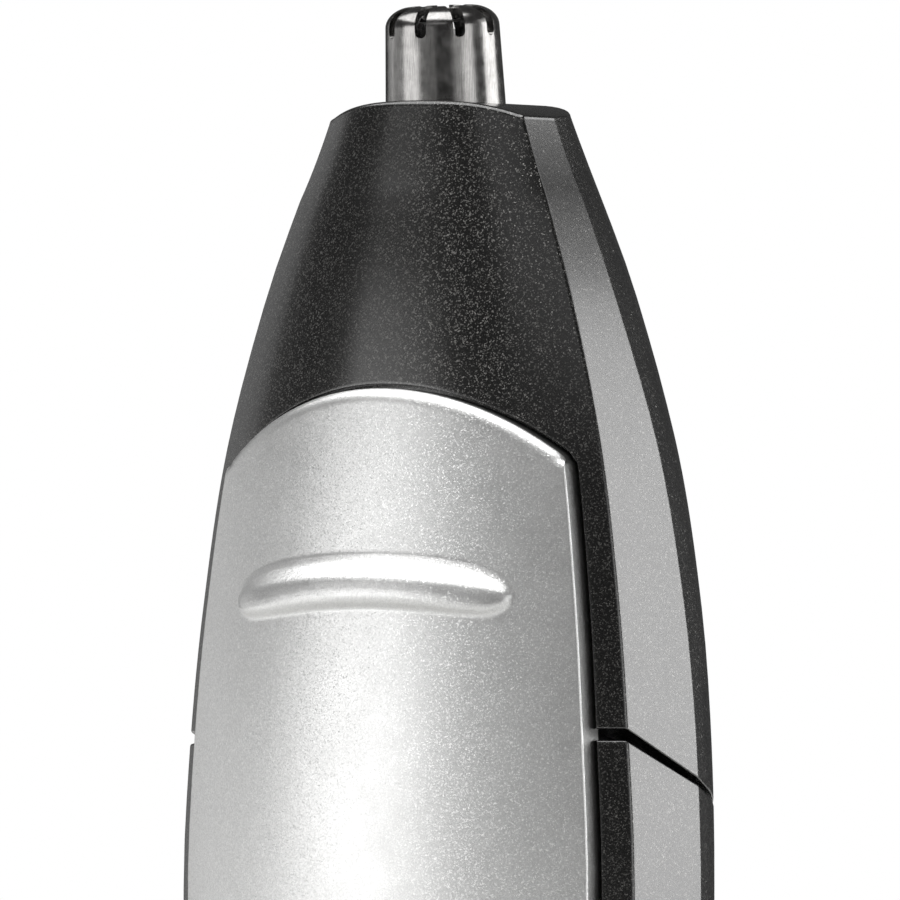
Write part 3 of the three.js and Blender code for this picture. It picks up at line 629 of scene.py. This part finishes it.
# ------------------------------------------------------------------ battery cap
def cap_piece():
    """The cap with its rounded foot, plug, seal groove and spring well."""
    top = 9.6
    s, shift = ALL_COLUMNS.T

    def ring(z, inset):
        x, y = section_point(s, shift, np.full(len(s), float(z)), inset)
        return np.column_stack([x * SIDE, y, np.full(len(s), float(z))])

    def well(z, radius):
        middle = np.array([0, WELL_Y])
        across = ring(top, 3.0)[:, :2] - middle
        circle = across / np.linalg.norm(across, axis=1)[:, None]
        return np.column_stack([middle + circle * radius, np.full(len(s), float(z))])

    foot = 1.6
    rings = [well(0.0, 0.0), well(0.0, 4.0)]
    for a in np.radians([90, 72, 54, 36, 18, 0]):
        rings.append(ring(foot * (1 - math.sin(a)), foot * (1 - math.cos(a))))
    rings += [ring(z, 0.0) for z in (3.5, 5.5, 7.5)]
    rings += [ring(top - e, float(round_drop(e, 0.25))) for e in (0.25, 0.12, 0.05, 0)]
    rings += [ring(top, 1.9), ring(10.8, 1.9), ring(10.8, 2.6), ring(11.85, 2.6), ring(11.85, 1.9)]
    rings += [ring(12.9, 1.9), ring(13.2, 2.2), well(13.2, 6.7)]
    rings += [well(13.0, 6.6), well(4.0, 6.6), well(4.0, 0.0)]
    points, faces = ring_mesh(np.array(rings))
    return piece("battery_cap_shell", points, faces, "battery_cap", ["base_cap"], "charcoal_shell")


# ------------------------------------------------------------------ materials
def add(tree, kind, inputs=None, **settings):
    """Adds a shader node; an input is a value or another node's output."""
    made = tree.nodes.new("ShaderNode" + kind)
    for key, value in settings.items():
        setattr(made, key, value)
    for key, value in (inputs or {}).items():
        if isinstance(value, bpy.types.NodeSocket):
            tree.links.new(value, made.inputs[key])
        else:
            made.inputs[key].default_value = value
    return made


def new_material(name, **values):
    """A Principled material; returns it with its node tree and shader."""
    made = bpy.data.materials.new(name)
    made.use_nodes = True
    tree = made.node_tree
    tree.nodes.clear()
    inputs = {key.replace("_", " "): value for key, value in values.items()}
    shader = add(tree, "BsdfPrincipled", inputs)
    add(tree, "OutputMaterial", {"Surface": shader.outputs[0]})
    return made, tree, shader


def object_position(tree, stretch=(1, 1, 1)):
    place = add(tree, "TexCoord").outputs["Object"]
    return add(tree, "Mapping", {"Vector": place, "Scale": stretch}).outputs[0]


def noise(tree, place, size, detail=3.0, roughness=0.5):
    inputs = {"Vector": place, "Scale": 1 / (size * MM), "Detail": detail, "Roughness": roughness}
    return add(tree, "TexNoise", inputs).outputs["Fac"]


def levels(tree, value, low, high, out_low, out_high):
    inputs = {"Value": value, "From Min": low, "From Max": high, "To Min": out_low, "To Max": out_high}
    return add(tree, "MapRange", inputs).outputs[0]


def blend(tree, factor, a, b):
    """Mix of two colours."""
    made = add(tree, "Mix", data_type="RGBA")
    for socket, value in ((made.inputs[0], factor), (made.inputs[6], a), (made.inputs[7], b)):
        if isinstance(value, bpy.types.NodeSocket):
            tree.links.new(value, socket)
        else:
            socket.default_value = value
    return made.outputs[2]


def flake_layer(tree, size, tilt, glint):
    """Random value and tilted normal of the flakes of a metallic paint; size in millimetres.

    The brightest fifth of the flakes are tilted by glint instead; below 0 they lean towards -X.
    """
    cells = add(tree, "TexVoronoi", {"Vector": object_position(tree), "Scale": 1 / (size * MM)})
    middle = {0: cells.outputs["Color"], 1: (0.5, 0.5, 0.5)}
    centred = add(tree, "VectorMath", middle, operation="SUBTRACT")
    value = add(tree, "SeparateColor", {0: cells.outputs["Color"]}).outputs[0]
    steep = levels(tree, value, 0.78, 0.82, tilt, glint)
    scaled = add(tree, "VectorMath", {0: centred.outputs[0], "Scale": steep}, operation="SCALE")
    normal = add(tree, "NewGeometry").outputs["Normal"]
    summed = add(tree, "VectorMath", {0: normal, 1: scaled.outputs[0]}, operation="ADD")
    tilted = add(tree, "VectorMath", {0: summed.outputs[0]}, operation="NORMALIZE")
    return value, tilted.outputs[0]


def charcoal_paint():
    coat = {"Coat_Weight": 1.0, "Coat_IOR": 1.8, "Coat_Roughness": 0.2}
    made, tree, shader = new_material("charcoal_flake_paint", Metallic=0.9, **coat)
    value, normal = flake_layer(tree, 0.07, 0.14, -0.45)
    bright = levels(tree, value, 0.72, 1.0, 0.0, 1.0)
    colour = blend(tree, bright, (0.013, 0.0126, 0.0118, 1), (0.165, 0.161, 0.154, 1))
    cloud = noise(tree, object_position(tree), 3.0)
    tree.links.new(colour, shader.inputs["Base Color"])
    tree.links.new(levels(tree, cloud, 0.3, 0.7, 0.3, 0.38), shader.inputs["Roughness"])
    tree.links.new(normal, shader.inputs["Normal"])
    return made


def silver_paint(name, share):
    """Satin silver paint; share scales its brightness; below 1 it is a darker copy for the panel's side
    walls, as painted shade.
    """
    made, tree, shader = new_material(name, Metallic=1.0, Coat_Weight=0.1 * share, Coat_Roughness=0.3)
    value, normal = flake_layer(tree, 0.06, 0.07, -0.28)
    low = (0.74 * share, 0.74 * share, 0.735 * share, 1)
    high = (0.92 * share, 0.92 * share, 0.91 * share, 1)
    colour = blend(tree, value, low, high)
    tree.links.new(colour, shader.inputs["Base Color"])
    cloud = noise(tree, object_position(tree), 2.0)
    tree.links.new(levels(tree, cloud, 0.3, 0.7, 0.37, 0.41), shader.inputs["Roughness"])
    tree.links.new(normal, shader.inputs["Normal"])
    return made


def metal(name, low, high, roughness, grain=(0.05, 0.05, 1.5), bump=0.0006):
    """A metal with drawn grain along Z, mottled tone and a slightly uneven polish."""
    made, tree, shader = new_material(name, Metallic=1.0)
    streaks = noise(tree, object_position(tree, [0.3 / g for g in grain]), 0.3, 5.0, 0.6)
    mottle = noise(tree, object_position(tree), 1.1, 5.0, 0.65)
    both = add(tree, "Math", {0: streaks, 1: mottle}, operation="ADD").outputs[0]
    colour = blend(tree, levels(tree, both, 0.75, 1.25, 0, 1), (*low, 1), (*high, 1))
    tree.links.new(colour, shader.inputs["Base Color"])
    polish = levels(tree, mottle, 0.3, 0.7, roughness * 0.8, roughness * 1.35)
    tree.links.new(polish, shader.inputs["Roughness"])
    bumped = add(tree, "Bump", {"Height": both, "Distance": bump * MM, "Strength": 1.0})
    tree.links.new(bumped.outputs[0], shader.inputs["Normal"])
    return made


def plastic(name, low, high, roughness, grain=0.25, bump=0.01):
    """A moulded plastic or rubber with a fine eroded grain."""
    made, tree, shader = new_material(name)
    fine = noise(tree, object_position(tree), grain, 4.0, 0.6)
    cloud = noise(tree, object_position(tree), 6.0)
    colour = blend(tree, levels(tree, cloud, 0.35, 0.65, 0, 1), (*low, 1), (*high, 1))
    tree.links.new(colour, shader.inputs["Base Color"])
    gloss = levels(tree, fine, 0.3, 0.7, roughness * 0.85, roughness * 1.15)
    tree.links.new(gloss, shader.inputs["Roughness"])
    bumped = add(tree, "Bump", {"Height": fine, "Distance": bump * MM, "Strength": 1.0})
    tree.links.new(bumped.outputs[0], shader.inputs["Normal"])
    return made


MATERIALS = {
    "charcoal_shell": charcoal_paint(),
    "silver_panel": silver_paint("silver_satin_paint", 1.0),
    # the panel's side walls: the silver paint darkened to 0.42, as painted shade from the recess
    "shaded_panel_wall": silver_paint("silver_painted_shade", 0.42),
    "polished_steel": metal("polished_steel", (0.22, 0.216, 0.21), (0.4, 0.392, 0.384), 0.2),
    "blade_steel": metal("ground_steel", (0.3, 0.3, 0.3), (0.5, 0.5, 0.49), 0.25),
    "spring_steel": metal("spring_wire", (0.5, 0.5, 0.49), (0.65, 0.64, 0.62), 0.22),
    "motor_steel": metal("plated_steel", (0.45, 0.45, 0.44), (0.6, 0.6, 0.58), 0.32, (0.4, 0.4, 0.4)),
    "screw_steel": metal("screw_steel", (0.4, 0.4, 0.39), (0.55, 0.55, 0.53), 0.28, (0.2, 0.2, 0.2)),
    "contact_brass": metal("contact_brass", (0.55, 0.38, 0.14), (0.72, 0.53, 0.24), 0.25, (0.1, 0.1, 0.4)),
    "inner_plastic": plastic("inner_plastic", (0.028, 0.028, 0.03), (0.042, 0.042, 0.044), 0.5),
    "white_plastic": plastic("acetal", (0.62, 0.61, 0.57), (0.7, 0.69, 0.65), 0.42),
    "black_rubber": plastic("seal_rubber", (0.012, 0.012, 0.012), (0.02, 0.02, 0.02), 0.6, 0.15, 0.02),
    "cell_skin": plastic("cell_sleeve", (0.03, 0.09, 0.045), (0.045, 0.12, 0.06), 0.3, 0.6, 0.004),
}


def finish_cad_nodes():
    """Gives every CAD node the finish of its slot, smooth turned faces and small edge radii."""
    for part in frame["record"]["subparts"]:
        node = frame["nodes"][part["node"]]
        node.data.materials.clear()
        node.data.materials.append(MATERIALS[part["material_slot"]])
        node.data.shade_smooth()
        node.data.set_sharp_from_angle(angle=math.radians(32))
        size = max(node.dimensions)
        bevelled(node, 0.12 if size > 8 * MM else 0.05, 32)


# ------------------------------------------------------------------ camera, lights and floor
FLOOR_RADIUS = 0.8  # metres
AIM = (0.0, -0.0005, 0.1053)  # metres, where the camera and the lights point
CAMERA = {"azimuth": 35.0, "elevation": -1.3, "distance": 1.4, "span": 0.054}
# Name, azimuth, elevation, width, height, radiance and, where it is not 1.2 m, distance.
SOFTBOXES = (
    ("key", -34, -4, 36, 26, 2.0),
    ("key_upper", -32, 12, 30, 8, 1.4),
    ("left", -74, -4, 36, 22, 0.5),
    ("left_upper", -96, 8, 26, 26, 0.42),
    ("front", 2, 5, 34, 14, 0.33),
    ("front_upper", 22, 28, 34, 12, 0.4),
    ("right", 84, 0, 24, 36, 1.7),
    ("right_soft", 62, 9, 18, 28, 0.6),
    ("back_right", 140, 1, 35, 42, 3.2),
    ("back_right_upper", 138, 29, 30, 12, 0.9),
    ("overhead", 20, 80, 50, 46, 3.0),
    ("high_left", -62, 52, 54, 26, 2.6),
    ("low", -60, -19, 40, 14, 0.4, 0.2),
)


def direction(azimuth, elevation):
    """Unit vector towards an azimuth counted from the front (-Y) towards +X."""
    a, e = math.radians(azimuth), math.radians(elevation)
    return Vector((math.sin(a) * math.cos(e), -math.cos(a) * math.cos(e), math.sin(e)))


def facing(name, data, azimuth, elevation, distance):
    """A camera or light that looks at the trimmer from a direction."""
    made = bpy.data.objects.new(name, data)
    back = direction(azimuth, elevation)
    made.location = Vector(AIM) + back * distance
    made.rotation_euler = (-back).to_track_quat("-Z", "Y").to_euler()
    bpy.context.scene.collection.objects.link(made)
    return made


def camera():
    data = bpy.data.cameras.new("camera")
    data.lens = data.sensor_width * CAMERA["distance"] / CAMERA["span"]
    data.clip_start, data.clip_end = 0.05, 50
    azimuth, elevation = CAMERA["azimuth"], CAMERA["elevation"]
    bpy.context.scene.camera = facing("camera", data, azimuth, elevation, CAMERA["distance"])


def softbox(name, azimuth, elevation, width, height, radiance, distance=1.2):
    """An area light facing the trimmer; width and height are angles in degrees, seen from the trimmer."""
    data = bpy.data.lights.new(name, "AREA")
    data.shape = "RECTANGLE"
    data.size = 2 * distance * math.tan(math.radians(width / 2))
    data.size_y = 2 * distance * math.tan(math.radians(height / 2))
    data.energy = radiance * math.pi * data.size * data.size_y
    facing(name, data, azimuth, elevation, distance).visible_camera = False


def world():
    """White behind the trimmer, dim grey all round as light."""
    made = bpy.data.worlds.new("studio")
    made.use_nodes = True
    tree = made.node_tree
    tree.nodes.clear()
    dim = add(tree, "Background", {"Color": (0.06, 0.06, 0.06, 1)})
    white = add(tree, "Background", {"Color": (1, 1, 1, 1)})
    seen = add(tree, "LightPath").outputs["Is Camera Ray"]
    mixed = add(tree, "MixShader", {0: seen, 1: dim.outputs[0], 2: white.outputs[0]})
    add(tree, "OutputWorld", {"Surface": mixed.outputs[0]})
    bpy.context.scene.world = made


def floor():
    made, tree, shader = new_material("pale_floor", Roughness=0.6)
    cloud = noise(tree, object_position(tree), 60.0)
    colour = blend(tree, cloud, (0.74, 0.74, 0.73, 1), (0.78, 0.78, 0.77, 1))
    tree.links.new(colour, shader.inputs["Base Color"])
    data = bpy.data.meshes.new("floor")
    turns = np.linspace(0, 2 * math.pi, 97)[:-1]
    ring = [(FLOOR_RADIUS * math.cos(a), FLOOR_RADIUS * math.sin(a), 0) for a in turns]
    data.from_pydata(ring, [], [list(range(len(ring)))])
    data.materials.append(made)
    obj = bpy.data.objects.new("floor", data)
    bpy.context.scene.collection.objects.link(obj)


# ------------------------------------------------------------------ scene
finish_cad_nodes()
head_shell()
handle_shell()
panel_piece()
tube_piece()
cap_piece()

camera()
world()
floor()
for light in SOFTBOXES:
    softbox(*light)
bpy.context.scene.view_settings.view_transform = "Standard"
